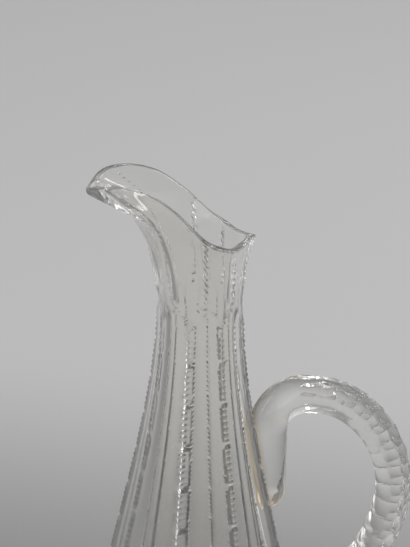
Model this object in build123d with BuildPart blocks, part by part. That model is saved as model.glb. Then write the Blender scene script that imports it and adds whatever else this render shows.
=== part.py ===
from build123d import *
import os
from math import atan2, cos, hypot, pi, radians, sin, tan

# Open-mouthed claret jug in cut glass: a blown vessel with a pouring lip, and a loop handle
# of solid glass that was pressed onto it while hot.
# The origin is the centre of the foot, +Z is up, the lip points to -X and the handle to +X.
# Millimetres throughout.

# Vessel, measured over the ridges between the hollow cuts
flute_count = 8
base_radius = 47.5
belly_radius = 55.5
belly_height = 24.0
neck_radius = 21.0
neck_height = 237.0
shoulder_fullness = 45.0
neck_slenderness = 65.0
flute_hollow = 0.035

# Mouth and pouring lip
lip_reach = 51.7
lip_height = 290.0
lip_depth = 7.0
lip_roundness = 2.4
mouth_back_reach = 26.0
mouth_back_height = 268.5
mouth_half_width = 28.3
mouth_hollow = 1.8
crest_height = 300.3

# Glass thickness at the bottom of the cuts, and at the tip of the lip
neck_wall = 2.8
belly_wall = 5.0
base_thickness = 9.0
mouth_wall = 2.7
lip_wall = 3.2
lip_floor_wall = 4.2

# The wheel that cut the two rings of hollows, and how far their ends pass each other
wheel_radius = 27.0
cut_overlap = 3.0
run_out_steps = [7.0, 14.0, 21.0]

# Large notches cut across the ridges of the lower ring
notch_count = 9
notch_first_height = 49.5
notch_pitch = 20.5
notch_depth = 1.6
notch_half_height = 2.0
notch_clearance = 0.6

# Star cut under the foot
star_points = 16
star_radius = 40.0
star_depth = 1.8
star_groove_angle = 120.0
star_centre_radius = 4.5

# Handle
handle_diameter = 18.4
handle_tail_reach = 33.4
handle_tail_height = 131.0
handle_crown_height = 183.2
handle_crown_radius = 17.2
handle_upper_bend = 37.5
handle_upper_turn = 38.0
handle_outer_bend = 59.5
handle_outer_turn = 52.5
handle_lower_bend = 73.0
handle_lower_turn = 55.0
handle_foot_length = 26.0
handle_foot_radius = 13.5

half_pitch = pi / flute_count
lower_cut_end = neck_height - cut_overlap
upper_cut_end = neck_height + cut_overlap


def bezier(points, share):
    """Point of a Bezier curve of any order at a share of its parameter."""
    while len(points) > 1:
        points = [
            tuple((1 - share) * a + share * b for a, b in zip(first, second))
            for first, second in zip(points, points[1:])
        ]
    return points[0]


def between(low, high, share):
    """Value at a share of the way from low to high."""
    return low + (high - low) * share


def run_out_radius(distance):
    """Ridge radius past the end of a ring of cuts, where the wheel lifts out of the glass."""
    return neck_radius + distance**2 / (2 * wheel_radius)


def heel_profile(share):
    """Ridge radius and height between the foot, at share 0, and the belly, at share 1."""
    angle = share * pi / 2
    return base_radius + (belly_radius - base_radius) * sin(angle), belly_height * (1 - cos(angle))


def body_profile(share):
    """Ridge radius and height between the belly, at share 0, and the neck, at share 1."""
    return bezier(
        [
            (belly_radius, belly_height),
            (belly_radius, belly_height + shoulder_fullness),
            (neck_radius, lower_cut_end - neck_slenderness),
            (neck_radius, lower_cut_end),
        ],
        share,
    )


def ridge_radius_at(height):
    """Ridge radius at a height between the belly and the neck, found by halving the share."""
    low, high = 0.0, 1.0
    for _ in range(30):
        middle = (low + high) / 2
        low, high = (middle, high) if body_profile(middle)[1] < height else (low, middle)
    return body_profile(low)[0]


def bore_radius(ridge_radius, height):
    """Radius inside the glass, one wall in from the bottom of the cuts."""
    share = (height - belly_height) / (lower_cut_end - belly_height)
    hollow = flute_hollow * 2 * ridge_radius * sin(half_pitch)
    return ridge_radius * cos(half_pitch) - hollow - between(belly_wall, neck_wall, share)


# The mouth's bore is eight bowed panels. Its corners stand just inside the round bore below.
neck_bore = bore_radius(neck_radius, lower_cut_end)
mouth_bore_radius = neck_bore - 0.15
bore_bulge = 0.09


def fluted_section(plane, ridges, hollows):
    """Face whose outline bows inwards by the hollow between each ridge and the next."""
    with BuildSketch(plane) as section:
        with BuildLine():
            for start, end, hollow in zip(ridges, ridges[1:] + ridges[:1], hollows):
                chord = hypot(end[0] - start[0], end[1] - start[1])
                outward = (end[1] - start[1]) / chord, (start[0] - end[0]) / chord
                pull = tuple((a + b) / 2 - 2 * hollow * n for a, b, n in zip(start, end, outward))
                Bezier(start, pull, end)
        make_face()
    return section.sketch


def lower_section(ridge_radius, height):
    """Section of the vessel through the lower ring of cuts."""
    angles = [half_pitch * (2 * i + 1) for i in range(flute_count)]
    ridges = [(ridge_radius * cos(a), ridge_radius * sin(a)) for a in angles]
    hollow = flute_hollow * 2 * ridge_radius * sin(half_pitch)
    return fluted_section(Plane.XY.offset(height), ridges, [hollow] * flute_count)


# The upper ring has a ridge at the back and one under the lip, and three on each side between
# them. These climb from the neck circle to places given as shares of the mouth's reaches.
side_ridge_angles = [50.0, 90.0, 135.0]
rear_ridge_share = (0.523, 0.643)
side_ridge_share = (-0.035, 1.0)
fore_ridge_shares = [(-0.474, 0.600), (-0.665, 0.530), (-0.812, 0.417)]


def neck_ridges(radius):
    """Side ridges where they stand on a circle."""
    return [(radius * cos(radians(a)), radius * sin(radians(a))) for a in side_ridge_angles]


def mouth_ridges(level):
    """Side ridges at the mouth: level 0 is the underside of the lip, 1 and 2 lie above it."""
    spread = mouth_half_width * (1 + 0.03 * level)
    fore = fore_ridge_shares[level]
    return [
        (rear_ridge_share[0] * mouth_back_reach, rear_ridge_share[1] * spread),
        (side_ridge_share[0] * mouth_back_reach, side_ridge_share[1] * spread),
        (fore[0] * lip_reach, fore[1] * mouth_half_width),
    ]


def front_point(share, reach, radius, height):
    """Point of the curve that turns from the neck, at its radius, out along the lip."""
    return bezier([(-radius, upper_cut_end), (-radius - 2.4, height), (-reach, height)], share)


def back_point(share, reach, radius):
    """Point of the curve up the back of the mouth."""
    waist = radius - 0.8, between(upper_cut_end, mouth_back_height, 0.6)
    return bezier([(radius, upper_cut_end), waist, (reach, mouth_back_height)], share)


def mouth_station(share):
    """Front, back, side ridges and hollows, from the neck, at share 0, to the lip's underside."""
    low, high = neck_ridges(neck_radius), mouth_ridges(0)
    sides = [tuple(between(a, b, share) for a, b in zip(p, q)) for p, q in zip(low, high)]
    widths = [(neck_radius,), (neck_radius + 0.4,), (mouth_half_width,)]
    sides[1] = sides[1][0], bezier(widths, share)[0]
    side_hollow = between(neck_hollow, mouth_hollow, share)
    fore_hollow = between(neck_hollow, -lip_roundness / 3, share)
    front = front_point(share, lip_reach, neck_radius, lip_height)
    back = back_point(share, mouth_back_reach, neck_radius)
    return front, back, sides, [neck_hollow, neck_hollow, side_hollow, fore_hollow]


def rim_station(level):
    """Front, back, side ridges and hollows where the lip stands upright, beside and above the rim."""
    front = -lip_reach, lip_height + lip_depth * level
    back = mouth_back_reach + 0.4 * level, mouth_back_height + 1.5 * lip_depth * level
    return front, back, mouth_ridges(level), [neck_hollow, neck_hollow, mouth_hollow, -lip_roundness]


def mouth_outline(front, back, sides):
    """Plane through the front and back points, and the ridge points on it, once round."""
    tilt = atan2(front[1] - back[1], back[0] - front[0])
    plane = Plane(
        origin=(0, 0, back[1] + back[0] * tan(tilt)),
        x_dir=(cos(tilt), 0, -sin(tilt)),
        z_dir=(sin(tilt), 0, cos(tilt)),
    )
    half = [(x / cos(tilt), y) for x, y in [(back[0], 0.0), *sides, (front[0], 0.0)]]
    return plane, half + [(x, -y) for x, y in reversed(half[1:-1])]


def mouth_section(front, back, sides, hollows):
    """Outer section of the mouth."""
    plane, ridges = mouth_outline(front, back, sides)
    return fluted_section(plane, ridges, hollows + hollows[::-1])


def inner_corner(before, ridge, after, insets):
    """Corner inside a ridge where its two neighbouring chords meet, each moved in by its inset."""
    normals = []
    for start, end in ((before, ridge), (ridge, after)):
        chord = hypot(end[0] - start[0], end[1] - start[1])
        normals.append(((end[1] - start[1]) / chord, (start[0] - end[0]) / chord))
    (ax, ay), (bx, by) = normals
    cross = ax * by - ay * bx
    move = (insets[0] * by - insets[1] * ay) / cross, (insets[1] * ax - insets[0] * bx) / cross
    return ridge[0] - move[0], ridge[1] - move[1]


def mouth_bore(front, station, wall, ridge_wall):
    """Section of the bore in the mouth, one wall in from the bottom of each cut."""
    plane, ridges = mouth_outline(front, *station[1:3])
    bulges = [bore_bulge * hypot(q[0] - p[0], q[1] - p[1]) for p, q in zip(ridges[:4], ridges[1:5])]
    insets = [hollow + wall + bulge for hollow, bulge in zip(station[3], bulges)]
    corners = [inner_corner(*ridges[i - 1 : i + 2], insets[i - 1 : i + 1]) for i in (1, 2, 3)]
    half = [(ridges[0][0] - ridge_wall, 0.0), *corners, ridges[4]]
    outline = half + [(x, -y) for x, y in reversed(corners)]
    hollows = [-bulge for bulge in bulges]
    return fluted_section(plane, outline, hollows + hollows[::-1])


def rim_point(reach, share):
    """Point of the rim in side view, its height a share of the way from the back to the crest."""
    return reach, between(mouth_back_height, crest_height, share)


body_shares = [0.0, 0.2, 0.4, 0.6, 0.8, 1.0]
wall_shares = [i / 7 for i in range(8)]
lip_shares = [0.0, 0.25, 0.5, 0.75, 1.0]
lip_lap = Location((0, 0, -0.05))
neck_hollow = flute_hollow * 2 * neck_radius * sin(half_pitch)
clear_radius = 1.5 * belly_radius

# Upper ring of cuts, from below the neck to above the rim, on a wide block that clears the body
with BuildPart() as upper_ring:
    sections = []
    for step in reversed(run_out_steps):
        r, z = run_out_radius(step), upper_cut_end - step
        sections.append(mouth_section((-r, z), (r, z), neck_ridges(r), [neck_hollow] * 4))
    sections += [mouth_section(*mouth_station(s)) for s in lip_shares]
    loft(sections)
    rim_sections = [mouth_section(*rim_station(level)) for level in (1, 2)]
    loft([sections[-1].moved(lip_lap)] + rim_sections)
    upper_start = upper_cut_end - run_out_steps[-1]
    Cylinder(clear_radius, upper_start, align=(Align.CENTER, Align.CENTER, Align.MIN))

# Outside of the vessel, solid: what both rings of cuts leave of the blank, under the rim
with BuildPart() as vessel_form:
    heel = [heel_profile(s) for s in (0.0, 0.33, 0.67)]
    body = [body_profile(s) for s in body_shares]
    run_out = [(run_out_radius(d), lower_cut_end + d) for d in run_out_steps]
    loft([lower_section(r, z) for r, z in heel + body + run_out])
    with Locations((0, 0, lower_cut_end + run_out_steps[-1])):
        Cylinder(clear_radius, crest_height, align=(Align.CENTER, Align.CENTER, Align.MIN))
    add(upper_ring.part, mode=Mode.INTERSECT)
    with BuildSketch(Plane.XZ):
        with BuildLine():
            rim = Spline(
                rim_point(mouth_back_reach + 2.0, 0.03),
                rim_point(0.68 * mouth_back_reach, -0.03),
                rim_point(0.3 * mouth_back_reach, 0.08),
                rim_point(-0.05 * lip_reach, 0.345),
                rim_point(-0.28 * lip_reach, 0.715),
                rim_point(-0.51 * lip_reach, 0.93),
                rim_point(-0.745 * lip_reach, 1.0),
                rim_point(-lip_reach, 0.86),
                rim_point(-lip_reach - 3.0, 0.78),
            )
            top = crest_height + 2 * lip_depth
            Polyline(rim @ 0, ((rim @ 0).X, top), ((rim @ 1).X, top), rim @ 1)
        make_face()
    extrude(amount=clear_radius, both=True, mode=Mode.SUBTRACT)

# Space inside the vessel: turned up to the neck, then lofted through the mouth
with BuildPart() as bore:
    corner = belly_height - base_thickness
    belly_bore = bore_radius(belly_radius, belly_height)
    floor_turn = [
        (belly_bore - corner * (1 - sin(a)), belly_height - corner * cos(a))
        for a in [radians(d) for d in (0, 30, 60)]
    ]
    walls = [(bore_radius(*body_profile(s)), body_profile(s)[1]) for s in wall_shares]
    axis_ends = (0, upper_cut_end), (0, base_thickness)
    with BuildSketch(Plane.XZ):
        with BuildLine():
            Polyline(*floor_turn, *walls, (neck_bore, upper_cut_end), *axis_ends, close=True)
        make_face()
    revolve(axis=Axis.Z)
    sections = []
    lip_floor = lip_height + lip_floor_wall
    for s in lip_shares:
        front = front_point(s, lip_reach - lip_wall, mouth_bore_radius, lip_floor)
        ridge_wall = between(neck_radius - mouth_bore_radius, 1.5 * mouth_wall, s)
        wall = between(neck_radius * cos(half_pitch) - neck_hollow - mouth_bore_radius, mouth_wall, s)
        sections.append(mouth_bore(front, mouth_station(s), wall, ridge_wall))
    loft([sections[0].moved(lip_lap)] + sections[1:])
    lip_sections = [sections[-1].moved(lip_lap)]
    for level in (1, 2):
        front = -lip_reach + lip_wall, lip_floor + lip_depth * level
        lip_sections.append(mouth_bore(front, rim_station(level), mouth_wall, 1.5 * mouth_wall))
    loft(lip_sections)

# Large notches: one ring, toothed inside, that only reaches the ridges
with BuildPart() as notch_ring:
    teeth = []
    for i in range(notch_count):
        height = notch_first_height + i * notch_pitch
        spread = notch_half_height * (1 + notch_clearance / notch_depth)
        for step, cut in ((-spread, -notch_clearance), (0, notch_depth), (spread, -notch_clearance)):
            teeth.append((ridge_radius_at(height) - cut, height + step))
    with BuildSketch(Plane.XZ):
        with BuildLine():
            Polyline(*teeth, (clear_radius, teeth[-1][1]), (clear_radius, teeth[0][1]), close=True)
        make_face()
    revolve(axis=Axis.Z)

# One ray of the star cut: a groove that is deepest at the centre and runs out towards the heel
with BuildPart() as star_ray:
    groove_plane = Plane((0, 0, star_depth), x_dir=(0, 1, 0), z_dir=(star_radius, 0, -star_depth))
    with BuildSketch(groove_plane):
        groove_height = 2 * star_depth
        groove_half = groove_height * tan(radians(star_groove_angle / 2))
        Polygon((0, 0), (-groove_half, -groove_height), (groove_half, -groove_height), align=None)
    extrude(amount=star_radius + star_depth)

with BuildPart() as vessel:
    add(vessel_form.part)
    add(bore.part, mode=Mode.SUBTRACT)
    add(notch_ring.part, mode=Mode.SUBTRACT)
    with PolarLocations(0, star_points):
        add(star_ray.part, mode=Mode.SUBTRACT)
    Cylinder(star_centre_radius, 2 * star_depth, align=(Align.CENTER, Align.CENTER, Align.MIN))
vessel.part.label = "vessel"

# Handle: one round bar along arcs in the plane of the lip, less what the vessel takes
with BuildPart() as handle:
    with BuildLine(Plane.XZ) as handle_line:
        shank_top = handle_crown_height - handle_crown_radius
        shank = Line((handle_tail_reach, handle_tail_height), (handle_tail_reach, shank_top))
        crown = JernArc(shank @ 1, (0, 1), handle_crown_radius, -90)
        upper_bend = JernArc(crown @ 1, crown % 1, handle_upper_bend, -handle_upper_turn)
        outer_bend = JernArc(upper_bend @ 1, upper_bend % 1, handle_outer_bend, -handle_outer_turn)
        lower_bend = JernArc(outer_bend @ 1, outer_bend % 1, handle_lower_bend, -handle_lower_turn)
    with BuildSketch(Plane(handle_line.line @ 0, z_dir=handle_line.line % 0)):
        Circle(handle_diameter / 2)
    sweep()
    with Locations(handle_line.line @ 0):
        Sphere(handle_diameter / 2)
    foot_plane = Plane(lower_bend @ 1, z_dir=lower_bend % 1)
    with BuildSketch(foot_plane):
        Circle(handle_diameter / 2)
    with BuildSketch(foot_plane.offset(handle_foot_length)):
        Circle(handle_foot_radius)
    loft()
    add(vessel_form.part, mode=Mode.SUBTRACT)
handle.part.label = "handle"

os.makedirs("parts", exist_ok=True)
for piece in (vessel, handle):
    export_step(piece.part, f"parts/{piece.part.label}.step")
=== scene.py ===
"""Studio scene of an open-mouthed claret jug in cut glass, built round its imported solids.

The vessel and the handle are numpy surfaces over the sizes of the solids, with the fine cutting
that the solids leave out: the small notches, the scale cuts of the handle and the rounded rim.
Sizes are in millimetres until a mesh is made, in the frame of the solids: the origin is the
centre of the foot, +Z is up and the lip points to -X.
"""

from __future__ import annotations

import logging
import math
from dataclasses import dataclass
from enum import Enum

import bpy
import numpy as np
from mathutils import Matrix, Vector

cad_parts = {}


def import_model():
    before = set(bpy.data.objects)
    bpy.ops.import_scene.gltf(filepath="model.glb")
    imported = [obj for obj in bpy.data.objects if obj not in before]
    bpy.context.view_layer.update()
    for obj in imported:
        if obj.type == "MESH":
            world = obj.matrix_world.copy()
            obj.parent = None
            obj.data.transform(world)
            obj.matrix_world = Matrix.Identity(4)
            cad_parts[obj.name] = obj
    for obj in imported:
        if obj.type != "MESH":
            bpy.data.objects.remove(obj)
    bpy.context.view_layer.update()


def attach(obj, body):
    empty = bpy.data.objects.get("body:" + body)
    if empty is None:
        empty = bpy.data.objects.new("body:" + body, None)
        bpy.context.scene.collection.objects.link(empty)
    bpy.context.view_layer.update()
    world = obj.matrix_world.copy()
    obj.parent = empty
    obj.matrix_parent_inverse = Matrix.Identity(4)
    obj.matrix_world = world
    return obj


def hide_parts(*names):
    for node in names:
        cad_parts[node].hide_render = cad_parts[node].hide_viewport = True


LOG = logging.getLogger("jug")
MM = 0.001
TURN = 2.0 * math.pi
QUARTER = 0.5 * math.pi
CURVE_STEPS = 801
EVEN_STEPS = 181
HALF_SECTORS = 8
PANELS = 4
FAR = 1e3
LARGEST_EXPONENT = 40.0


def bezier(points: list[tuple[float, ...]], share: np.ndarray) -> np.ndarray:
    """Bezier curve of any order: neighbouring points are blended by the share until one is left.

    Args:
        points: Control points, all of one dimension.
        share: Parameter from 0 to 1, any shape.

    Returns:
        Array of share's shape with the coordinates on a last axis.
    """
    weight = np.asarray(share, float)[..., None]
    levels = [np.broadcast_to(np.array(p, float), weight.shape[:-1] + (len(p),)) for p in points]
    while len(levels) > 1:
        levels = [(1 - weight) * a + weight * b for a, b in zip(levels, levels[1:])]
    return levels[0]


def blend(low: np.ndarray | float, high: np.ndarray | float, share: np.ndarray) -> np.ndarray:
    """Value at a share of the way from low to high."""
    return low + (high - low) * share


def ease(value: np.ndarray, start: float, end: float) -> np.ndarray:
    """Smooth step: 0 before start, 1 after end, and 3t^2 - 2t^3 between them."""
    t = np.clip((value - start) / (end - start), 0.0, 1.0)
    return t * t * (3 - 2 * t)


def smooth_curve(x: np.ndarray, knots: tuple[tuple[float, float], ...]) -> np.ndarray:
    """Cubic curve through knots, with the slope at each knot taken from its two neighbours.

    Args:
        x: Places at which the curve is wanted.
        knots: (place, height) pairs in rising order of place.

    Returns:
        Heights, of x's shape.
    """
    px, pz = np.array(knots).T
    slope = np.gradient(pz, px)
    i = np.clip(np.searchsorted(px, x) - 1, 0, len(px) - 2)
    width = px[i + 1] - px[i]
    t = (x - px[i]) / width
    return (
        (2 * t**3 - 3 * t**2 + 1) * pz[i]
        + (t**3 - 2 * t**2 + t) * width * slope[i]
        + (3 * t**2 - 2 * t**3) * pz[i + 1]
        + (t**3 - t**2) * width * slope[i + 1]
    )


def polar(radius: np.ndarray, angle: np.ndarray, height: np.ndarray | float) -> np.ndarray:
    """Points from distances from the axis, angles round it and heights."""
    flat = radius * np.cos(angle), radius * np.sin(angle), height
    return np.stack(np.broadcast_arrays(*flat), -1)


def bearing(points: np.ndarray) -> tuple[np.ndarray, np.ndarray]:
    """Distance from the axis and angle round it of points or of places in plan."""
    x, y = points[..., 0], points[..., 1]
    return np.hypot(x, y), np.arctan2(y, x)


def to_even(angle: np.ndarray, value: np.ndarray) -> np.ndarray:
    """Values of each row (rows, columns) read at even angles from 0 to pi."""
    even = np.linspace(0, math.pi, EVEN_STEPS)
    return np.stack([np.interp(even, a, v) for a, v in zip(angle, value)])


def from_even(angle: np.ndarray, value: np.ndarray) -> np.ndarray:
    """Values at given angles (rows, columns) from values at even angles from 0 to pi."""
    even = np.linspace(0, math.pi, value.shape[1])
    return np.stack([np.interp(a, even, v) for a, v in zip(angle, value)])


def evened(reach: np.ndarray, amount: float) -> np.ndarray:
    """Distances from the axis with their ripple round the ring taken out.

    Each half ring is mirrored to a whole one, its Fourier terms are multiplied by
    exp(-(wave x amount)^2 / 2), and it is turned back into distances.

    Args:
        reach: Distances (rows, even angles from 0 to pi).
        amount: Width of the filter in radians.

    Returns:
        Distances of the same shape.
    """
    ring = np.concatenate([reach, reach[:, -2:0:-1]], axis=1)
    wave = np.fft.rfftfreq(ring.shape[1], 1 / ring.shape[1])
    filtered = np.fft.rfft(ring, axis=1) * np.exp(-((wave * amount) ** 2) / 2)
    return np.fft.irfft(filtered, ring.shape[1], axis=1)[:, : reach.shape[1]]


def v_cut(
    distance: np.ndarray, depth: np.ndarray | float, half_width: np.ndarray | float
) -> np.ndarray:
    """Depth of a V groove: full at its middle line, falling in a straight line to its edges."""
    return depth * np.clip(1 - np.abs(distance) / half_width, 0.0, None)


def mirrored(half: np.ndarray) -> np.ndarray:
    """Full rings from half rings that run from the back to the front on the +Y side."""
    other = half[:, -2:0:-1] * np.array([1, -1, 1])
    return np.concatenate([half, other], axis=1)


def ring_faces(rings: int, around: int) -> tuple[np.ndarray, np.ndarray]:
    """Faces that join each ring of points to the next and close both ends on a pole.

    Args:
        rings: Number of rings.
        around: Points in a ring. The first ring's pole and the last ring's follow the rings.

    Returns:
        The faces' corners one after the other, and the number of corners of each face.
    """
    ring, step = np.meshgrid(np.arange(rings - 1), np.arange(around), indexing="ij")
    after = (step + 1) % around
    low, high = ring * around, (ring + 1) * around
    quads = np.stack([low + step, low + after, high + after, high + step], -1)
    here = np.arange(around)
    there = (here + 1) % around
    pole, top = rings * around, (rings - 1) * around
    start_fan = np.stack([np.full(around, pole), there, here], -1)
    end_fan = np.stack([np.full(around, pole + 1), top + here, top + there], -1)
    corners = np.concatenate([quads.ravel(), start_fan.ravel(), end_fan.ravel()])
    sizes = np.concatenate([np.full(ring.size, 4), np.full(2 * around, 3)])
    return corners.astype(np.int32), sizes


def shown(name: str, data: bpy.types.ID) -> bpy.types.Object:
    """New object of that name with its data, linked to the scene.

    Args:
        name: Name of the object.
        data: Mesh, light or camera.

    Returns:
        The object.
    """
    made = bpy.data.objects.new(name, data)
    bpy.context.scene.collection.objects.link(made)
    return made


def sheet_mesh(name: str, rows: np.ndarray, crease: float) -> bpy.types.Object:
    """Closed mesh from rings of points, each joined to the next, with a pole at either end.

    Args:
        name: Name of the piece.
        rows: Array (rings, points in a ring, 3) in millimetres. The first and the last ring
            close on their mean point.
        crease: Angle in degrees above which an edge between faces is sharp.

    Returns:
        The object, linked to the scene, with its faces pointing outwards.
    """
    points = np.vstack([rows.reshape(-1, 3), rows[0].mean(0), rows[-1].mean(0)]) * MM
    corners, sizes = ring_faces(*rows.shape[:2])
    starts = np.concatenate([[0], np.cumsum(sizes)[:-1]])
    mesh = bpy.data.meshes.new(name)
    mesh.vertices.add(len(points))
    mesh.vertices.foreach_set("co", points.ravel())
    mesh.loops.add(len(corners))
    mesh.loops.foreach_set("vertex_index", corners)
    mesh.polygons.add(len(sizes))
    mesh.polygons.foreach_set("loop_start", starts.astype(np.int32))
    mesh.update(calc_edges=True)
    mesh.validate()
    mesh.shade_smooth()
    mesh.set_sharp_from_angle(angle=math.radians(crease))
    return shown(name, mesh)


@dataclass
class LowerRing:
    """The lower ring of eight hollow cuts, from the foot to the neck.

    Every section is eight arcs that bow inwards between ridges on a circle, and the circle's
    radius follows the heel, the body and, past the neck, the rise where the wheel lifted out.
    """

    base_radius: float = 47.5
    belly_radius: float = 55.5
    belly_height: float = 24.0
    neck_radius: float = 21.0
    end_height: float = 234.0
    shoulder_fullness: float = 45.0
    neck_slenderness: float = 65.0
    flute_hollow: float = 0.035
    wheel_radius: float = 27.0
    pitch: float = TURN / 8

    def ridge_radius(self, height: np.ndarray) -> np.ndarray:
        """Radius of the ridges: a quarter wave at the heel, a cubic Bezier up the body, and a
        parabola of the wheel's radius above the neck.

        Args:
            height: Heights above the foot.

        Returns:
            Radii, of height's shape.
        """
        height = np.asarray(height, float)
        body = bezier(
            [
                (self.belly_radius, self.belly_height),
                (self.belly_radius, self.belly_height + self.shoulder_fullness),
                (self.neck_radius, self.end_height - self.neck_slenderness),
                (self.neck_radius, self.end_height),
            ],
            np.linspace(0, 1, CURVE_STEPS),
        )
        radius = np.interp(height, body[:, 1], body[:, 0])
        turn = np.arccos(np.clip(1 - height / self.belly_height, -1, 1))
        heel = self.base_radius + (self.belly_radius - self.base_radius) * np.sin(turn)
        radius = np.where(height < self.belly_height, heel, radius)
        past = np.clip(height - self.end_height, 0, None)
        return radius + past**2 / (2 * self.wheel_radius)

    def chord(self, height: np.ndarray) -> tuple[np.ndarray, np.ndarray, np.ndarray]:
        """Chord of a flute between its two ridges.

        Args:
            height: Heights above the foot.

        Returns:
            The chord's distance from the axis, its half length, and how far the flute bows in.
        """
        ridge = self.ridge_radius(height)
        half = ridge * math.sin(self.pitch / 2)
        return ridge * math.cos(self.pitch / 2), half, self.flute_hollow * 2 * half

    def outline(self, angle: np.ndarray, height: np.ndarray) -> np.ndarray:
        """Distance from the axis to the cut surface.

        In a flute's own axes the arc is x = a - h (1 - (y / b)^2), with a and b the chord's
        distance and half length and h the hollow, and it is met by the line y = x tan(angle).

        Args:
            angle: Angles round the axis, in radians.
            height: Heights above the foot.

        Returns:
            Distances, of the arguments' common shape.
        """
        local = (angle + self.pitch / 2) % self.pitch - self.pitch / 2
        chord, half, hollow = self.chord(height)
        bow = hollow * np.tan(local) ** 2 / half**2
        reach = chord - hollow
        across = 2 * reach / (1 + np.sqrt(np.clip(1 - 4 * bow * reach, 0, None)))
        return across / np.cos(local)

    def flat_reach(self, y: np.ndarray, height: np.ndarray) -> np.ndarray:
        """How far out the flute that faces +X stands at a place across it."""
        chord, half, hollow = self.chord(height)
        return chord - hollow * (1 - (y / half) ** 2)


@dataclass
class RidgeNotches:
    """V notches along the ridges: small ones in sixes between large ones."""

    top_large: float = 213.5
    pitch: float = 20.5
    between: int = 6
    large_depth: float = 1.3
    large_half: float = 1.85
    small_depth: float = 0.85
    small_half: float = 0.95
    lowest: float = 38.0
    highest: float = 226.5

    @property
    def step(self) -> float:
        """Distance from one notch to the next."""
        return self.pitch / (self.between + 1)

    def numbers(self) -> np.ndarray:
        """Numbers of the notches, counted upwards.

        Returns:
            Whole numbers, 0 for the topmost large notch.
        """
        low = math.ceil((self.lowest - self.top_large) / self.step)
        high = math.floor((self.highest - self.top_large) / self.step)
        return np.arange(low, high + 1)

    def centres(self) -> np.ndarray:
        """Heights of the notches' middle lines, from the lowest to the highest."""
        return self.top_large + self.step * self.numbers()

    def large(self) -> np.ndarray:
        """Whether each notch is a large one."""
        return self.numbers() % (self.between + 1) == 0

    def halves(self) -> np.ndarray:
        """Half the width of each notch."""
        return np.where(self.large(), self.large_half, self.small_half)

    def rows(self) -> np.ndarray:
        """Heights at which a mesh needs rings: each notch's two edges and its middle line."""
        return np.sort(np.concatenate([self.centres() + k * self.halves() for k in (-1, 0, 1)]))

    def depth(self, height: np.ndarray) -> np.ndarray:
        """Depth of the notches at a height: the deepest of the V grooves that reach it.

        Args:
            height: Heights above the foot.

        Returns:
            Depths below the ridge, 0 between notches.
        """
        away = np.asarray(height)[..., None] - self.centres()
        deep = np.where(self.large(), self.large_depth, self.small_depth)
        return v_cut(away, deep, self.halves()).max(-1)


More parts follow.
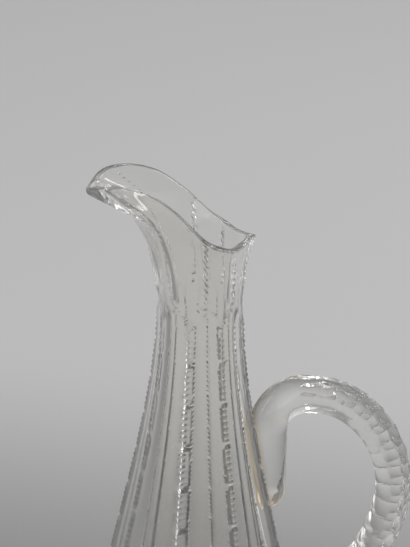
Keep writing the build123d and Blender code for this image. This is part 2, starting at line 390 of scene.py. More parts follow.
@dataclass
class Mouth:
    """The upper ring of cuts: sections on planes that fan out from the neck to the lip.

    A section has a ridge at the back, three on each side and one at the front. The station
    number is the height above the neck, in millimetres, while it is below 0, a share of the
    way to the lip's underside from 0 to 1, and from 1 to 3 it climbs past the rim.
    """

    neck_radius: float = 21.0
    neck_height: float = 240.0
    wheel_radius: float = 27.0
    neck_hollow: float = 0.5625
    side_hollow: float = 1.8
    back_fullness: tuple[float, float] = (1.2, 1.6)
    full_stations: tuple[float, float] = (0.8, 1.6)
    lip_reach: float = 51.7
    lip_height: float = 290.0
    lip_depth: float = 7.0
    lip_lean: float = 2.4
    lip_fullness: float = 2.4
    lip_stations: tuple[float, float] = (1.0, 2.0)
    fore_fullness: float = 0.8
    nose_round: float = 0.12
    back_reach: float = 26.0
    back_height: float = 268.5
    back_lean: float = 0.8
    back_knee: float = 0.6
    back_past: tuple[float, float] = (0.4, 10.5)
    half_width: float = 28.3
    width_growth: float = 0.03
    side_bulge: float = 0.4
    rear_ridge: tuple[float, float] = (0.523, 0.643)
    side_ridge: float = -0.035
    fore_ridges: tuple[tuple[float, float], ...] = (
        (-0.474, 0.600),
        (-0.665, 0.530),
        (-0.812, 0.417),
    )
    even_angles: tuple[float, ...] = (0.0, 45.0, 90.0, 135.0, 180.0)
    ring_angles: tuple[float, ...] = (0.0, 50.0, 90.0, 135.0, 180.0)
    spread_heights: tuple[float, float] = (70.0, 219.0)
    notch_pitch: float = 3.4
    notch_depth: float = 0.8
    notch_half: float = 1.1
    notch_slope: float = 0.58
    notch_shares: tuple[float, ...] = (1.3, 1.2, 1.3, 0.8, 0.55)
    notch_starts: tuple[float, ...] = (2.0, -2.0, -2.0, -2.0, 2.0)
    notch_stop: float = 4.0

    def parts(self, station: np.ndarray) -> tuple[np.ndarray, np.ndarray]:
        """Share of the way to the lip's underside, and how far past it a station lies.

        The turn between them is rounded by ln(1 + exp(t)), so that the lip has no edge there.

        Args:
            station: Station numbers, any shape.

        Returns:
            Share and distance past, of station's shape.
        """
        t = (station - 1) / self.nose_round
        t = np.clip(t, -LARGEST_EXPONENT, LARGEST_EXPONENT)
        past = self.nose_round * np.log1p(np.exp(t))
        return np.clip(station - past, 0, 1), past

    def front(self, station: np.ndarray) -> np.ndarray:
        """Front ridge: a quadratic Bezier out along the lip, then straight up.

        Args:
            station: Station numbers, any shape.

        Returns:
            Array of station's shape with (x, z) added.
        """
        share, past = self.parts(station)
        start = (-self.neck_radius, self.neck_height)
        knee = (-self.neck_radius - self.lip_lean, self.lip_height)
        curve = bezier([start, knee, (-self.lip_reach, self.lip_height)], share)
        curve[..., 1] += self.lip_depth * past
        return curve

    def back(self, station: np.ndarray) -> np.ndarray:
        """Back ridge: a quadratic Bezier that leans out to the rim, then a straight line on.

        Args:
            station: Station numbers, any shape.

        Returns:
            Array of station's shape with (x, z) added.
        """
        share, past = self.parts(station)
        start = (self.neck_radius, self.neck_height)
        knee_height = blend(self.neck_height, self.back_height, self.back_knee)
        knee = (self.neck_radius - self.back_lean, knee_height)
        curve = bezier([start, knee, (self.back_reach, self.back_height)], share)
        return curve + past[..., None] * np.array(self.back_past)

    def neck_ridges(self, station: np.ndarray, lift: np.ndarray) -> np.ndarray:
        """Ridge places on the neck's circle: even below, turned to the mouth's places above.

        Args:
            station: Station numbers, any shape.
            lift: How far the wheel's parabola carries the ridges outwards there.

        Returns:
            Places, of station's shape with (ridge, xy) added.
        """
        mouthward = ease(self.neck_height + np.minimum(station, 0), *self.spread_heights)
        even, ring = np.array(self.even_angles), np.array(self.ring_angles)
        angles = np.radians(blend(even, ring, mouthward[..., None]))
        radius = (self.neck_radius + lift)[..., None]
        return polar(radius, angles, 0.0)[..., :2]

    def rim_ridges(self, past: np.ndarray, front: np.ndarray, back: np.ndarray) -> np.ndarray:
        """Ridge places level with the lip and past it, from shares of the reach and the width.

        The ridge beside the lip runs on the parabola through its places at 0, 1 and 2 past.

        Args:
            past: How far past the lip's underside a station lies.
            front: Front ridge as (x, z).
            back: Back ridge as (x, z).

        Returns:
            Places, of past's shape with (ridge, xy) added.
        """
        spread = self.half_width * (1 + self.width_growth * past)
        zero = np.zeros_like(spread)
        shares = ((1 - past) * (2 - past) / 2, past * (2 - past), past * (past - 1) / 2)
        fore = sum(s[..., None] * np.array(place) for s, place in zip(shares, self.fore_ridges))
        rear_x, rear_y = self.rear_ridge
        places = [
            np.stack([back[..., 0], zero], -1),
            np.stack([rear_x * self.back_reach + zero, rear_y * spread], -1),
            np.stack([self.side_ridge * self.back_reach + zero, spread], -1),
            fore * np.array([self.lip_reach, self.half_width]),
            np.stack([front[..., 0], zero], -1),
        ]
        return np.stack(places, -2)

    def ridges(self, station: np.ndarray) -> tuple[np.ndarray, np.ndarray, np.ndarray]:
        """Ridge places in plan, and the front and back points of the plane they lie on.

        Below the neck the wheel's parabola, drop^2 / (2 x radius), carries the ridges outwards.

        Args:
            station: Station numbers, any shape.

        Returns:
            Ridges, of station's shape with (ridge, xy) added, the five from back to front on
            the +Y side, and the front and the back point as (x, z).
        """
        share, past = self.parts(station)
        drop = np.clip(-station, 0, None)
        lift = drop**2 / (2 * self.wheel_radius)
        front = self.front(station) + np.stack([-lift, -drop], -1)
        back = self.back(station) + np.stack([lift, -drop], -1)
        low, high = self.neck_ridges(station, lift), self.rim_ridges(past, front, back)
        places = blend(low, high, share[..., None, None])
        places[..., 0, 0] = back[..., 0]
        places[..., 4, 0] = front[..., 0]
        bulge = (self.neck_radius + self.side_bulge,)
        side = bezier([(self.neck_radius,), bulge, (self.half_width,)], share)[..., 0]
        side = side + self.half_width * self.width_growth * past
        places[..., 2, 1] = np.where(station > 0, side, places[..., 2, 1])
        return places, front, back

    def plane(self, station: np.ndarray) -> tuple[np.ndarray, np.ndarray]:
        """Plane on which each station's section lies.

        Args:
            station: Station numbers, any shape.

        Returns:
            Height of the plane on the axis, and its slope towards the lip.
        """
        _, front, back = self.ridges(station)
        slope = (front[..., 1] - back[..., 1]) / (back[..., 0] - front[..., 0])
        return back[..., 1] + back[..., 0] * slope, slope

    def hollows(self, station: np.ndarray) -> np.ndarray:
        """Hollow of each panel from back to front, negative where the panel is full.

        Args:
            station: Station numbers, any shape.

        Returns:
            Hollows in millimetres, of station's shape with the panel on a last axis.
        """
        share, _ = self.parts(station)
        near_rim = ease(station, *self.full_stations)
        fore = blend(self.neck_hollow, -self.fore_fullness, share)
        panels = [blend(self.neck_hollow, -full, near_rim) for full in self.back_fullness]
        panels.append(blend(self.neck_hollow, self.side_hollow, share))
        panels.append(blend(fore, -self.lip_fullness, ease(station, *self.lip_stations)))
        return np.stack(panels, -1)


@dataclass
class Bore:
    """The space inside: round in the body, and in the mouth a soft copy of the outside."""

    neck_radius: float = 16.0
    belly_wall: float = 5.0
    neck_wall: float = 2.8
    top_height: float = 236.0
    belly_height: float = 24.0
    floor_height: float = 9.0
    floor_centre: float = 0.08
    rim_wall: float = 3.3
    lip_wall: float = 3.4
    lip_passes: int = 3
    round_station: float = 0.35
    smoothing: float = 0.09
    wall_rows: int = 22
    corner_rows: int = 8
    floor_rows: int = 7

    def radius(self, ring: LowerRing, height: np.ndarray) -> np.ndarray:
        """Radius in the body: the bottom of the flutes less a wall that thins upwards, and a
        quarter circle from the wall to the floor.

        Args:
            ring: The cuts outside.
            height: Heights between the floor and the neck.

        Returns:
            Radii, of height's shape.
        """
        level = np.clip(height, self.belly_height, ring.end_height)
        share = (level - self.belly_height) / (ring.end_height - self.belly_height)
        chord, _, hollow = ring.chord(level)
        inside = chord - hollow - blend(self.belly_wall, self.neck_wall, share)
        corner = self.belly_height - self.floor_height
        down = np.clip((self.belly_height - height) / corner, 0, 1)
        return inside - corner * (1 - np.sqrt(1 - down**2))

    def body(self, ring: LowerRing, angle: np.ndarray) -> np.ndarray:
        """Points down the wall of the body, round its corner and in along the floor.

        Args:
            ring: The cuts outside.
            angle: Angle of each column.

        Returns:
            Points (rows, columns, 3).
        """
        turn = np.linspace(0, QUARTER, self.corner_rows + 1)[1:]
        corner = self.belly_height - (self.belly_height - self.floor_height) * np.sin(turn)
        wall = np.linspace(self.top_height, self.belly_height, self.wall_rows)
        height = np.concatenate([wall, corner, np.full(self.floor_rows, self.floor_height)])
        radius = self.radius(ring, height)
        radius[-self.floor_rows :] *= np.linspace(1, self.floor_centre, self.floor_rows + 1)[1:]
        return polar(radius[:, None], angle, height[:, None])

    def mouth(self, mouth: Mouth, station: np.ndarray, outside: np.ndarray) -> np.ndarray:
        """Points in the mouth: the outside's distances from the axis, evened out round the ring
        by a Gaussian filter, less the wall measured square to the surface.

        Where the outside turns level under the lip, the distance is also held to the outside's
        own distance at a place lower by the lip's thickness. Towards the neck the points close
        in to the round bore.

        Args:
            mouth: The cuts outside.
            station: Station numbers (rows, columns), falling from the rim to the neck.
            outside: Points of the outside there, without notches.

        Returns:
            Points (rows, columns, 3).
        """
        level, slope = mouth.plane(station)
        reach, angle = bearing(outside)
        reach, height, even_level, even_slope = (
            to_even(angle, value) for value in (reach, outside[..., 2], level, slope)
        )
        even = np.linspace(0, math.pi, EVEN_STEPS)
        ring = evened(reach, self.smoothing)
        lean = np.gradient(ring, even[1], axis=1) / ring
        ring = ring - self.rim_wall * np.sqrt(1 + lean**2)
        for _ in range(self.lip_passes):
            below = even_level - ring * np.cos(even) * even_slope - self.lip_wall
            columns = zip(below.T, height[::-1].T, reach[::-1].T)
            ring = np.minimum(ring, np.stack([np.interp(*c) for c in columns], -1))
        inner = from_even(angle, evened(ring, self.smoothing))
        inner = blend(self.neck_radius, inner, ease(station, 0.0, self.round_station))
        return polar(inner, angle, level - inner * np.cos(angle) * slope)


@dataclass
class Vessel:
    """The blown and cut body: foot, body, neck, mouth and lip in one closed sheet of points."""

    lower: LowerRing
    upper: Mouth
    bore: Bore
    notches: RidgeNotches
    half_sector: int = 14
    crowding: float = 2.1
    half_stations: tuple[float, float] = (0.25, 0.9)
    ring_start: float = -21.0
    level_passes: int = 8
    heel_rows: int = 9
    body_start: float = 28.0
    body_rows: int = 4
    neck_rows: int = 12
    row_gap: float = 0.8
    body_gap: float = 1.5
    top_station: float = 3.0
    trial_rows: int = 901
    mouth_rows: int = 100
    inner_rows: int = 58
    fairing: int = 24
    rim_knots: tuple[tuple[float, float], ...] = (
        (-54.7, 293.3),
        (-51.7, 295.6),
        (-46.5, 298.8),
        (-38.5, 300.1),
        (-30.5, 299.2),
        (-22.5, 296.3),
        (-14.5, 291.2),
        (-6.5, 283.6),
        (1.5, 275.8),
        (9.5, 270.1),
        (17.7, 267.5),
        (28.0, 269.4),
    )
    rim_lift: float = 0.28
    rim_rows: int = 13
    rim_round: float = 1.5
    rim_full: float = 2.3
    fade_start: float = 0.78
    fade_width: float = 0.11
    fade_back: tuple[float, float] = (0.0, 0.5)
    fade_front: tuple[float, float] = (2.4, 3.0)
    foot_rows: tuple[float, ...] = (
        *(1.5, 3.0, 4.5, 4.55, 6.0, 7.5, 9.0, 11.0),
        *(13.0, 16.0, 19.0, 22.0, 26.0, 30.0, 35.0, 40.0),
    )
    star_points: int = 16
    star_radius: float = 40.0
    star_depth: float = 1.8
    star_slope: float = math.tan(math.radians(30))
    star_centre: float = 4.5
    crease: float = 17.0

    def rim_height(self, x: np.ndarray) -> np.ndarray:
        """Height of the wall's top in side view, from the back of the mouth to the lip's tip."""
        return smooth_curve(x, self.rim_knots) - self.rim_round + self.rim_lift

    def columns(self) -> np.ndarray:
        """Share of each column across a half sector, crowded at both ends where ridges are.

        With s even from 0 to 1 and c the crowding, a share is s^c / (s^c + (1 - s)^c).
        """
        step = np.arange(self.half_sector) / self.half_sector
        return step**self.crowding / (step**self.crowding + (1 - step) ** self.crowding)

    def panels(self, station: np.ndarray) -> np.ndarray:
        """Places in plan on the upper ring's panels, each a quadratic Bezier between two ridges.

        Half of a panel's columns stand on either side of the lower ring's ridge, whose ray the
        Bezier meets at the root of a quadratic, and near the rim on either side of its middle.

        Args:
            station: Array (rows, columns) of station numbers.

        Returns:
            Places (rows, columns, 2).
        """
        column = np.arange(station.shape[1])
        panel = np.minimum(column // (2 * self.half_sector), PANELS - 1)
        places, _, _ = self.upper.ridges(station)
        start, end = places[:, column, panel], places[:, column, panel + 1]
        hollow = self.upper.hollows(station)[:, column, panel]
        along = end - start
        outward = np.stack([along[..., 1], -along[..., 0]], -1)
        outward /= np.linalg.norm(outward, axis=-1, keepdims=True)
        pull = (start + end) / 2 - 2 * hollow[..., None] * outward
        ridge_angle = self.lower.pitch * (panel + 0.5)
        side = np.array([-np.sin(ridge_angle), np.cos(ridge_angle)]).T
        near, mid, far = ((side * point).sum(-1) for point in (start, pull, end))
        bend = near - 2 * mid + far
        rise = 2 * (mid - near)
        meet = -2 * near / (rise + np.sqrt(np.clip(rise**2 - 4 * bend * near, 0, None)))
        meet = blend(meet, 0.5, ease(station, *self.half_stations))
        crowd = np.append(np.tile(self.columns(), HALF_SECTORS), 1.0)
        second = (column // self.half_sector) % 2 == 1
        second[-1] = True
        share = np.where(second, meet + (1 - meet) * crowd, meet * crowd)[..., None]
        return (1 - share) ** 2 * start + 2 * share * (1 - share) * pull + share**2 * end

    def outer(self, station: np.ndarray, notched: bool = True) -> np.ndarray:
        """Outer points on one side: on each ray of a section's plane, the nearer of both rings.

        A column's ray from the axis runs through its place on the upper ring. It is cut short
        by the lower ring, whose height on a tilted plane is found by repeating radius, height,
        radius, and by the notches. Far below the mouth only the lower ring counts.

        Args:
            station: Array (rows, columns) of station numbers, with the columns of all half
                sectors from the back to the front, and one more for the front ridge.
            notched: Whether the notches are cut.

        Returns:
            Points (rows, columns, 3).
        """
        level, slope = self.upper.plane(station)
        reach, angle = bearing(self.panels(station))
        reach = np.where(station < self.ring_start, FAR, reach)
        tilt = slope * np.cos(angle)
        lower = np.minimum(reach, self.lower.outline(angle, level))
        for _ in range(self.level_passes):
            lower = self.lower.outline(angle, level - lower * tilt)
        reach = np.minimum(reach, lower)
        if notched:
            reach = self.notch_lower(reach, angle, level - reach * tilt)
            reach = self.notch_upper(reach, angle, level - reach * tilt)
        return polar(reach, angle, level - reach * tilt)

    def notch_lower(self, reach: np.ndarray, angle: np.ndarray, height: np.ndarray) -> np.ndarray:
        """Cuts the lower ridges back to the planes of the notches' floors.

        Args:
            reach: Distances from the axis (rows, columns).
            angle: Angles round the axis (rows, columns).
            height: Heights (rows, columns).

        Returns:
            Distances with the notches cut.
        """
        depth = self.notches.depth(height)
        local = angle % self.lower.pitch - self.lower.pitch / 2
        floor = (self.lower.ridge_radius(height) - depth) / np.cos(local)
        return np.where(depth > 0, np.minimum(reach, floor), reach)

    def notch_upper(self, reach: np.ndarray, angle: np.ndarray, height: np.ndarray) -> np.ndarray:
        """Cuts the small notches of the upper ridges, spaced by length along each ridge.

        A notch is a V along its ridge and falls off with the distance from it in plan.

        Args:
            reach: Distances from the axis (rows, columns).
            angle: Angles round the axis (rows, columns).
            height: Heights (rows, columns).

        Returns:
            Distances with the notches cut.
        """
        upper = self.upper
        for ridge, (part, start) in enumerate(zip(upper.notch_shares, upper.notch_starts)):
            column = slice(2 * ridge * self.half_sector, 2 * ridge * self.half_sector + 1)
            points = polar(reach, angle, height)
            tip = points[:, column]
            steps = np.linalg.norm(np.diff(tip[:, 0], axis=0), axis=1)
            length = np.concatenate([[0], np.cumsum(steps)])
            along = ((length / upper.notch_pitch) % 1 - 0.5) * upper.notch_pitch
            depth = v_cut(along, upper.notch_depth * part, upper.notch_half)
            depth = depth * (tip[:, 0, 2] > upper.neck_height + start)
            depth = depth * (length < length[-1] - upper.notch_stop)
            away, _ = bearing(points - tip)
            reach = reach - np.clip(depth[:, None] - upper.notch_slope * away, 0, None)
        return reach

    def crossing(self, points: np.ndarray, station: np.ndarray) -> np.ndarray:
        """Station at which each column of a trial surface first passes the rim's height.

        Args:
            points: Trial points (rows, columns, 3), rising with the row.
            station: Station number of each row.

        Returns:
            One station number for each column.
        """
        above = points[..., 2] - self.rim_height(points[..., 0])
        row = np.clip(np.argmax(above > 0, axis=0), 1, None)
        column = np.arange(points.shape[1])
        low, high = above[row - 1, column], above[row, column]
        return blend(station[row - 1], station[row], low / (low - high))

    def softened(self, mouth: np.ndarray, share: np.ndarray, station: np.ndarray) -> np.ndarray:
        """Mouth whose ridges fade into a smooth rim, as polishing leaves them.

        Args:
            mouth: Points (rows, columns, 3) from the neck to the rim.
            share: Each row's share of the way to the rim (rows, 1).
            station: Station numbers (rows, columns).

        Returns:
            Points of the same shape.
        """
        reach, angle = bearing(mouth)
        sides = ease(angle, *self.fade_back) * (1 - ease(angle, *self.fade_front))
        amount = ease(share, self.fade_start, 1.0) * sides
        smooth = from_even(angle, evened(to_even(angle, reach), self.fade_width))
        reach = blend(reach, smooth, amount)
        level, slope = self.upper.plane(station)
        x = reach * np.cos(angle)
        z = np.where(amount > 0, level - x * slope, mouth[..., 2])
        return polar(reach, angle, z + (self.rim_height(x[-1]) - z[-1]) * amount)

    def foot(self, edge: np.ndarray) -> np.ndarray:
        """Underside from the centre to the heel: flat, with the rays of the star cut into it.

        A ray is a V groove whose middle line rises from the star's depth at the centre to the
        foot at its end, and whose sides fall away from that line at the groove's slope.

        Args:
            edge: The heel's lowest ring (columns, 3).

        Returns:
            Rings (rows, columns, 3) from the centre outwards.
        """
        _, angle = bearing(edge)
        radius = np.array(self.foot_rows)[:, None]
        step = TURN / self.star_points
        local = (angle + step / 2) % step - step / 2
        middle = self.star_depth * (1 - radius / self.star_radius)
        side = np.abs(radius * np.sin(local)) * self.star_slope
        height = np.clip(middle - side, 0, None) * (radius > self.star_centre)
        return polar(radius, angle, height)

    def outside(self) -> tuple[np.ndarray, np.ndarray, np.ndarray]:
        """Outside from the heel to the rim.

        Returns:
            Points of the body, points of the mouth, and each column's station at the rim.
        """
        ones = np.ones(HALF_SECTORS * self.half_sector + 1)
        notches = self.notches.rows()
        turn = np.linspace(0, QUARTER, self.heel_rows)
        neck_end = self.upper.neck_height - self.row_gap
        parts = [
            self.lower.belly_height * (1 - np.cos(turn)),
            np.linspace(self.body_start, notches[0] - self.body_gap, self.body_rows),
            notches,
            np.linspace(notches[-1] + self.row_gap, neck_end, self.neck_rows),
        ]
        below = np.concatenate(parts)[:, None] - self.upper.neck_height
        trial = np.linspace(0, self.top_station, self.trial_rows)
        top = self.crossing(self.outer(trial[:, None] * ones, notched=False), trial)
        share = np.linspace(0, 1, self.mouth_rows)[:, None]
        points = self.outer(np.concatenate([below * ones, share * top]))
        body, mouth = points[: len(below)], points[len(below) :]
        return body, self.softened(mouth, share, share * top), top

    def inside(self, neck: np.ndarray, top: np.ndarray) -> np.ndarray:
        """Inside from the rim down to the middle of the floor.

        Args:
            neck: Ring of the outside (columns, 3) whose columns the bore follows.
            top: Each column's station at the rim.

        Returns:
            Points (rows, columns, 3).
        """
        down = np.linspace(1, 0, self.inner_rows)[:, None]
        plain = self.outer(down * top, notched=False)
        inner = self.bore.mouth(self.upper, down * top, plain)
        inner[..., 2] += (self.rim_height(inner[0, :, 0]) - inner[0, :, 2]) * down**3
        for _ in range(self.fairing):
            inner[1:-1] = (inner[:-2] + 2 * inner[1:-1] + inner[2:]) / 4
        _, angle = bearing(neck)
        angle[-1] = math.pi
        return np.concatenate([inner, self.bore.body(self.lower, angle)])

    def rim(self, outside: np.ndarray, inside: np.ndarray) -> np.ndarray:
        """Rim from the outside to the inside, a superellipse over the wall.

        Its rise is round x (1 - |u|^full)^(1 / full), with u from -1 to 1 across the wall.

        Args:
            outside: Last ring of the outside.
            inside: First ring of the inside.

        Returns:
            Points (rows, columns, 3) between the two.
        """
        turn = np.linspace(0, math.pi, self.rim_rows + 2)[1:-1]
        across = (1 - np.cos(turn)) / 2
        flat = np.abs(2 * across - 1) ** self.rim_full
        points = blend(outside, inside, across[:, None, None])
        points[..., 2] += self.rim_round * (1 - flat[:, None]) ** (1 / self.rim_full)
        return points

    def build(self) -> bpy.types.Object:
        """Joins foot, outside, rim and inside into one closed sheet.

        Returns:
            The vessel's object.
        """
        body, mouth, top = self.outside()
        inside = self.inside(mouth[0], top)
        rim = self.rim(mouth[-1], inside[0])
        full = mirrored(np.concatenate([body, mouth, rim, inside]))
        return sheet_mesh("vessel_glass", np.concatenate([self.foot(full[0]), full]), self.crease)


@dataclass
class Handle:
    """The applied loop: a round bar on arcs, with its tail pressed up the body and scale cuts."""

    ring: LowerRing
    radius: float = 9.2
    tail: tuple[float, float] = (33.4, 131.0)
    shank: float = 35.0
    crown: float = 17.2
    bends: tuple[tuple[float, float], ...] = ((37.5, 38.0), (59.5, 52.5), (73.0, 55.0))
    foot_length: float = 26.0
    foot_radius: float = 13.5
    gap: float = 0.04
    cap_rows: int = 14
    cap_start: float = 0.04
    path_steps: int = 4001
    scale_pitch: float = 10.4
    scale_length: float = 8.4
    scale_width: float = 4.9
    scale_depth: float = 1.6
    scale_step: float = 0.35
    scale_turns: tuple[float, ...] = (0.0, 42.0, -42.0, 84.0, -84.0)
    scale_shifts: tuple[float, ...] = (0.0, 0.5, 0.5, 0.0, 0.0)
    scale_stop: float = 3.0
    crown_margin: float = 4.0
    foot_margin: float = 6.0
    rows: int = 380
    around: int = 112
    crease: float = 30.0

    def path(self) -> tuple[np.ndarray, np.ndarray, np.ndarray, float]:
        """Centre line: the heading turns at a steady rate on each arc and is summed up.

        Returns:
            Length along the line, points (x, z), headings in radians and the length at which
            the crown ends.
        """
        arcs = [(radius, math.radians(degrees)) for radius, degrees in self.bends]
        lengths = [self.shank, self.crown * QUARTER, *(r * a for r, a in arcs), self.foot_length]
        turns = [0.0, QUARTER, *(a for _, a in arcs), 0.0]
        ends = np.concatenate([[0], np.cumsum(lengths)])
        headings = QUARTER - np.concatenate([[0], np.cumsum(turns)])
        length = np.linspace(0, ends[-1], self.path_steps)
        heading = np.interp(length, ends, headings)
        middle = (heading[1:] + heading[:-1]) / 2
        steps = np.stack([np.cos(middle), np.sin(middle)], -1) * length[1]
        points = self.tail + np.concatenate([np.zeros((1, 2)), np.cumsum(steps, axis=0)])
        return length, points, heading, float(ends[2])

    def scales(self, length: np.ndarray, angle: np.ndarray, start: float, end: float) -> np.ndarray:
        """Depth of the scale cuts: the deepest of many shallow dishes in staggered rows.

        Each dish is depth times (1 - (along / length)^2 - (across / width)^2), and it is
        deeper towards the far end, which leaves a step there.

        Args:
            length: Length along the centre line (rows, 1).
            angle: Angle round the bar (1, columns), 0 on the outer side.
            start: Where the first cut starts along the line.
            end: Where the last cut ends.

        Returns:
            Depths (rows, columns).
        """
        depth = np.zeros(np.broadcast_shapes(length.shape, angle.shape))
        numbers = np.arange(int((end - start) / self.scale_pitch)) + 0.5
        for turn, shift in zip(self.scale_turns, self.scale_shifts):
            centres = start + self.scale_pitch * (numbers + shift)
            near = length[..., None] - centres[centres < end - self.scale_stop]
            nearest = np.abs(near).argmin(-1, keepdims=True)
            along = np.take_along_axis(near, nearest, -1)[..., 0] / self.scale_length
            across = (angle - math.radians(turn)) * self.radius / self.scale_width
            bowl = np.clip(1 - along**2 - across**2, 0, None)
            depth = np.maximum(depth, self.scale_depth * bowl * (1 + self.scale_step * along))
        return depth

    def build(self) -> bpy.types.Object:
        """Sweeps the bar, cuts the scales and rests it against the body's flute.

        Returns:
            The handle's object.
        """
        length, line, heading, crown_end = self.path()
        total = length[-1]
        cap = self.radius * np.cos(np.linspace(self.cap_start, QUARTER, self.cap_rows))
        along = np.concatenate([-cap, np.linspace(0, total, self.rows)[1:]])
        place, before = np.clip(along, 0, total), np.minimum(along, 0)
        turn = np.interp(place, length, heading)
        x = np.interp(place, length, line[:, 0]) + before * np.cos(turn)
        z = np.interp(place, length, line[:, 1]) + before * np.sin(turn)
        bar = self.radius * np.sqrt(np.clip(1 - (before / self.radius) ** 2, 0, 1))
        flare = ease(along, total - self.foot_length, total)
        bar = bar + (self.foot_radius - self.radius) * flare
        angle = np.linspace(-math.pi, math.pi, self.around, endpoint=False)[None, :]
        first = crown_end - self.crown_margin
        last = total - self.foot_length - self.foot_margin
        reach = bar[:, None] - self.scales(along[:, None], angle, first, last)
        out = reach * np.cos(angle)
        py = reach * np.sin(angle)
        pz = z[:, None] + out * np.cos(turn)[:, None]
        px = x[:, None] - out * np.sin(turn)[:, None]
        px = np.maximum(px, self.ring.flat_reach(py, pz) + self.gap)
        rings = np.stack([px, py, pz], -1)
        return sheet_mesh("handle_glass", rings[:, ::-1], self.crease)


class Sock:
    """A shader socket with arithmetic: each operator adds the Math node it stands for."""

    def __init__(self, nodes: Nodes, socket: bpy.types.NodeSocket) -> None:
        """Keeps the socket and what adds nodes to its tree."""
        self.nodes = nodes
        self.socket = socket

    def math(self, operation: str, other: Sock | float) -> Sock:
        """Result of a Math node fed with this socket and another value."""
        return self.nodes.node("ShaderNodeMath", {"operation": operation}, {0: self, 1: other})

    def __add__(self, other: Sock | float) -> Sock:
        """Sum."""
        return self.math("ADD", other)

    def __mul__(self, other: Sock | float) -> Sock:
        """Product."""
        return self.math("MULTIPLY", other)

    def __sub__(self, other: Sock | float) -> Sock:
        """Difference."""
        return self.math("SUBTRACT", other)

    def __rsub__(self, other: float) -> Sock:
        """Difference from a number."""
        return self * -1.0 + other

    __radd__ = __add__
    __rmul__ = __mul__

    def step(self, start: float, end: float) -> Sock:
        """Smooth step from 0 at start to 1 at end."""
        settings = {"interpolation_type": "SMOOTHSTEP"}
        return self.nodes.node(
            "ShaderNodeMapRange", settings, {"Value": self, "From Min": start, "From Max": end}
        )

    def axis(self, name: str) -> Sock:
        """One coordinate of a vector."""
        return self.nodes.node("ShaderNodeSeparateXYZ", {}, {0: self}, output=name)


class Nodes:
    """Adds nodes to a node tree."""

    def __init__(self, tree: bpy.types.NodeTree) -> None:
        """Keeps the tree."""
        self.tree = tree

    def node(
        self,
        kind: str,
        settings: dict[str, object] | None = None,
        inputs: dict[str | int, object] | None = None,
        output: str | int = 0,
    ) -> Sock:
        """Adds a node: its settings first, then values or links of its sockets.

        Args:
            kind: Node type.
            settings: Attributes of the node.
            inputs: Socket name or number to a Sock or a value.
            output: Name or number of the output that is wanted.

        Returns:
            That output.
        """
        made = self.tree.nodes.new(kind)
        for key, value in (settings or {}).items():
            setattr(made, key, value)
        for key, value in (inputs or {}).items():
            if isinstance(value, Sock):
                self.tree.links.new(value.socket, made.inputs[key])
            else:
                made.inputs[key].default_value = value
        return Sock(self, made.outputs[output])

    def noise(self, vector: Sock, scale: float, detail: float) -> Sock:
        """Noise from 0 to 1 on a vector, its scale in waves to the metre."""
        inputs = {"Vector": vector, "Scale": scale, "Detail": detail}
        return self.node("ShaderNodeTexNoise", {}, inputs)

    def tint(self, mask: Sock, plain: tuple[float, ...], other: tuple[float, ...]) -> Sock:
        """Colour that goes from plain to other with a mask."""
        inputs = {0: mask, 6: (*plain, 1.0), 7: (*other, 1.0)}
        return self.node("ShaderNodeMix", {"data_type": "RGBA"}, inputs, output=2)


class Dresser(Nodes):
    """Builds one node material."""

    def __init__(self, name: str) -> None:
        """Starts an empty material of that name."""
        self.data = bpy.data.materials.new(name)
        self.data.use_nodes = True
        super().__init__(self.data.node_tree)
        self.tree.nodes.clear()

    def place(self) -> Sock:
        """Object coordinates."""
        return self.node("ShaderNodeTexCoord", output="Object")

    def finish(self, inputs: dict[str | int, object]) -> bpy.types.Material:
        """Puts a Principled shader on the material's output.

        Args:
            inputs: Values or sockets of the shader by the name or number of its input.

        Returns:
            The finished material.
        """
        shader = self.node("ShaderNodeBsdfPrincipled", {}, inputs)
        end = self.tree.nodes.new("ShaderNodeOutputMaterial")
        self.tree.links.new(shader.socket, end.inputs["Surface"])
        return self.data


@dataclass(frozen=True)
class LeadGlass:
    """The vessel's lead glass, polished after cutting, with the faint waves and smears it keeps."""

    name: str = "polished lead glass"
    colour: tuple[float, float, float] = (0.975, 0.97, 0.95)
    smear: tuple[float, float, float] = (0.945, 0.945, 0.93)
    ior: float = 1.5
    rough: float = 0.04
    smear_edges: tuple[float, float] = (0.55, 0.8)
    smear_rough: float = 0.04
    grain_scale: float = 900.0
    grain_detail: float = 3.0
    grain_rough: float = 0.03
    wave_scale: float = 70.0
    wave_detail: float = 2.0
    wave_height: float = 0.00012
    wave_strength: float = 0.6

    def coat(self, dresser: Dresser, smears: Sock) -> tuple[Sock, Sock]:
        """Colour, and what the smears add to the roughness."""
        return dresser.tint(smears, self.colour, self.smear), smears * self.smear_rough

    def material(self) -> bpy.types.Material:
        """Glass with broad noise as its bump and its smears, and fine noise as its grain.

        Returns:
            The material.
        """
        dresser = Dresser(self.name)
        vector = dresser.place()
        broad = dresser.noise(vector, self.wave_scale, self.wave_detail)
        fine = dresser.noise(vector, self.grain_scale, self.grain_detail)
        colour, rough = self.coat(dresser, broad.step(*self.smear_edges))
        waves = {"Strength": self.wave_strength, "Distance": self.wave_height, "Height": broad}
        inputs = {
            "Base Color": colour,
            "Roughness": rough + fine * self.grain_rough + self.rough,
            "IOR": self.ior,
            "Transmission Weight": 1.0,
            "Normal": dresser.node("ShaderNodeBump", {}, waves),
        }
        return dresser.finish(inputs)


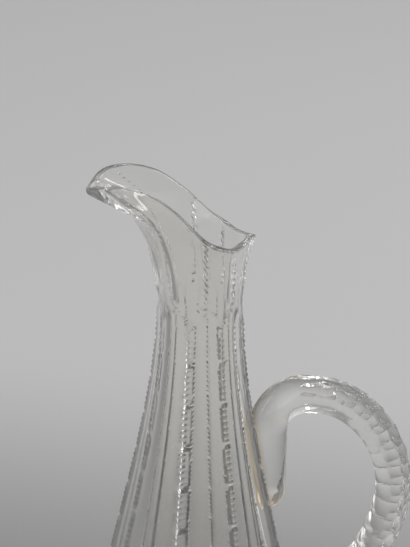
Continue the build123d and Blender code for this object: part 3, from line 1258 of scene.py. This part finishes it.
@dataclass(frozen=True)
class HandleGlass(LeadGlass):
    """The handle's glass: as clear, with an amber line where it was pressed onto the body."""

    name: str = "applied handle glass"
    colour: tuple[float, float, float] = (0.945, 0.94, 0.92)
    amber: tuple[float, float, float] = (0.68, 0.50, 0.28)
    rough: float = 0.02
    smear_edges: tuple[float, float] = (0.5, 0.8)
    smear_rough: float = 0.03
    wave_scale: float = 90.0
    wave_height: float = 0.0002
    seam_foot: float = 0.0318
    seam_lean: float = 0.161
    seam_base: float = 0.131
    seam_edges: tuple[float, float] = (0.0002, 0.0035)
    seam_rough: float = 0.12
    tip_heights: tuple[float, float] = (0.1225, 0.1315)
    loop_heights: tuple[float, float] = (0.100, 0.105)
    loop_reaches: tuple[float, float] = (0.050, 0.060)
    tip_share: float = 0.55

    def coat(self, dresser: Dresser, smears: Sock) -> tuple[Sock, Sock]:
        """Amber close to the seam, whose distance from the axis falls with height, and on the
        tail's tip, which lies low on the tail but above and inside of the lower loop.

        Args:
            dresser: Builder of the material.
            smears: Mask of the smears.

        Returns:
            Colour, and what seam and smears add to the roughness.
        """
        vector = dresser.place()
        x, z = vector.axis("X"), vector.axis("Z")
        seam = x + (z - self.seam_base) * self.seam_lean - self.seam_foot
        near = 1 - seam.step(*self.seam_edges)
        tip = (1 - z.step(*self.tip_heights)) * z.step(*self.loop_heights)
        stain = near + tip * (1 - x.step(*self.loop_reaches)) * self.tip_share
        rough = near * self.seam_rough + smears * self.smear_rough
        return dresser.tint(stain, self.colour, self.amber), rough


@dataclass(frozen=True)
class SoftBox:
    """A soft lamp: its place from the jug's middle and its sides in metres, and its watts."""

    place: tuple[float, float, float]
    width: float
    height: float
    power: float


class Lamp(Enum):
    """The soft lamps, named for the side they stand on."""

    WINDOW = SoftBox((-1.3, -0.45, 0.55), 0.22, 0.8, 8.0)
    TOP = SoftBox((0.15, -0.25, 1.3), 0.4, 0.25, 4.0)
    BACK = SoftBox((0.5, 1.1, 1.1), 0.5, 0.25, 4.0)
    DOOR = SoftBox((1.2, 0.5, 0.5), 0.25, 0.7, 3.0)


@dataclass
class Studio:
    """Pale floor with painted shade near the jug, soft lamps, a bright world and the camera, in
    metres and degrees.
    """

    centre: tuple[float, float, float] = (0.0, 0.0, 0.2)
    floor_side: float = 5.0
    floor_grey: float = 0.36
    # painted shade: the darker grey the paper takes near the jug and in front of it
    painted_shade_grey: float = 0.16
    shade_edges: tuple[float, float] = (0.03, 0.38)
    shade_lean: float = 0.35
    floor_rough: float = 0.9
    world_grey: float = 1.15
    horizon_grey: float = 0.3
    world_edges: tuple[float, float] = (-0.5, 0.9)
    world_lean: tuple[float, float, float] = (-0.65, -0.25, 0.72)
    bounces: int = 40
    azimuth: float = -7.5
    elevation: float = 27.0
    roll: float = 0.75
    lens: float = 131.6
    sensor: float = 36.0
    clip: tuple[float, float] = (0.01, 20.0)
    distance: float = 0.92
    aim_height: float = 0.234
    aim_offset: tuple[float, float] = (0.00216, 0.01403)

    def floor(self) -> None:
        """Wide flat sheet of paper that fills the picture, with painted shade: its colour is a
        darker grey near the jug and towards the front and left than behind it.
        """
        side = self.floor_side
        points = [(-side, -side, 0.0), (side, -side, 0.0), (side, side, 0.0), (-side, side, 0.0)]
        mesh = bpy.data.meshes.new("floor")
        mesh.from_pydata(points, [], [(0, 1, 2, 3)])
        sheet = shown("floor", mesh)
        dresser = Dresser("pale paper")
        vector = dresser.place()
        # painted shade: the paper's colour falls to a darker grey near the jug and towards the
        # front and left, standing in for the darker side of the room
        away = vector.axis("Y") + vector.axis("X") * self.shade_lean
        greys = (self.painted_shade_grey,) * 3, (self.floor_grey,) * 3
        colour = dresser.tint(away.step(*self.shade_edges), *greys)
        paper = dresser.finish({"Base Color": colour, "Roughness": self.floor_rough})
        mesh.materials.append(paper)

    def lamp(self, name: str, box: SoftBox) -> None:
        """Adds a soft lamp at its place, turned to the jug.

        Args:
            name: Name of the lamp.
            box: Its place, sides and watts.
        """
        data = bpy.data.lights.new(name, "AREA")
        data.shape = "RECTANGLE"
        data.size, data.size_y = box.width, box.height
        data.energy = box.power
        lamp = shown(name, data)
        lamp.location = Vector(self.centre) + Vector(box.place)
        lamp.rotation_euler = (-Vector(box.place)).to_track_quat("-Z", "Y").to_euler()

    def world(self) -> None:
        """Grey light from all round, brightest high on the window's side."""
        world = bpy.data.worlds.new("studio")
        world.use_nodes = True
        nodes = Nodes(world.node_tree)
        place = nodes.node("ShaderNodeTexCoord", output="Generated")
        dot = {"operation": "DOT_PRODUCT"}
        lean = nodes.node("ShaderNodeVectorMath", dot, {0: place, 1: self.world_lean}, "Value")
        low, high = self.world_edges
        levels = {
            "Value": lean,
            "From Min": low,
            "From Max": high,
            "To Min": self.horizon_grey,
            "To Max": self.world_grey,
        }
        level = nodes.node("ShaderNodeMapRange", {}, levels)
        sky = nodes.tree.nodes["Background"].inputs["Color"]
        nodes.tree.links.new(level.socket, sky)
        bpy.context.scene.world = world

    def camera(self) -> None:
        """Camera at the photograph's angle: back from the jug, rolled a little, no lens shift."""
        a, e, r = (math.radians(v) for v in (self.azimuth, self.elevation, self.roll))
        back = Vector((math.sin(a) * math.cos(e), -math.cos(a) * math.cos(e), math.sin(e)))
        level = Vector((math.cos(a), math.sin(a), 0.0))
        up = back.cross(level)
        right, up = level * math.cos(r) + up * math.sin(r), up * math.cos(r) - level * math.sin(r)
        data = bpy.data.cameras.new("camera")
        data.lens = self.lens
        data.sensor_width = self.sensor
        data.clip_start, data.clip_end = self.clip
        eye = shown("camera", data)
        place = Vector((0, 0, self.aim_height)) + back * self.distance
        place += right * self.aim_offset[0] + up * self.aim_offset[1]
        turn = Matrix((right, up, back)).transposed().to_4x4()
        eye.matrix_world = Matrix.Translation(place) @ turn
        bpy.context.scene.camera = eye

    def build(self) -> None:
        """Sets up everything that isn't the jug.

        Glass behind glass behind glass needs many bounces, or its ridges turn black.
        """
        self.floor()
        for lamp in Lamp:
            self.lamp(f"{lamp.name.lower()} lamp", lamp.value)
        self.world()
        self.camera()
        scene = bpy.context.scene
        scene.view_settings.view_transform = "Standard"
        scene.cycles.max_bounces = self.bounces
        scene.cycles.transmission_bounces = self.bounces
        scene.cycles.glossy_bounces = self.bounces


def corners(box: tuple[Vector, Vector]) -> list[list[float]]:
    """Lowest and highest corner as plain lists."""
    return [list(corner) for corner in box]


def stand_in(
    piece: bpy.types.Object, material: bpy.types.Material, node: str
) -> None:
    """Gives a piece its material, ties it to the body and hides the node that it stands for.

    Args:
        piece: The finished piece.
        material: Its material.
        node: Name of the node that it replaces.
    """
    piece.data.materials.append(material)
    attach(piece, "root")
    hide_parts(node)
    LOG.info("%s: %d points for node %s", piece.name, len(piece.data.vertices), node)


def main() -> None:
    """Loads the frame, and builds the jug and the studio."""
    logging.basicConfig(level=logging.INFO, format="%(name)s: %(message)s")
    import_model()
    ring = LowerRing()
    vessel = Vessel(ring, Mouth(), Bore(), RidgeNotches()).build()
    stand_in(vessel, LeadGlass().material(), "vessel")
    handle = Handle(ring).build()
    stand_in(handle, HandleGlass().material(), "handle")
    Studio().build()


if __name__ == "__main__":
    main()
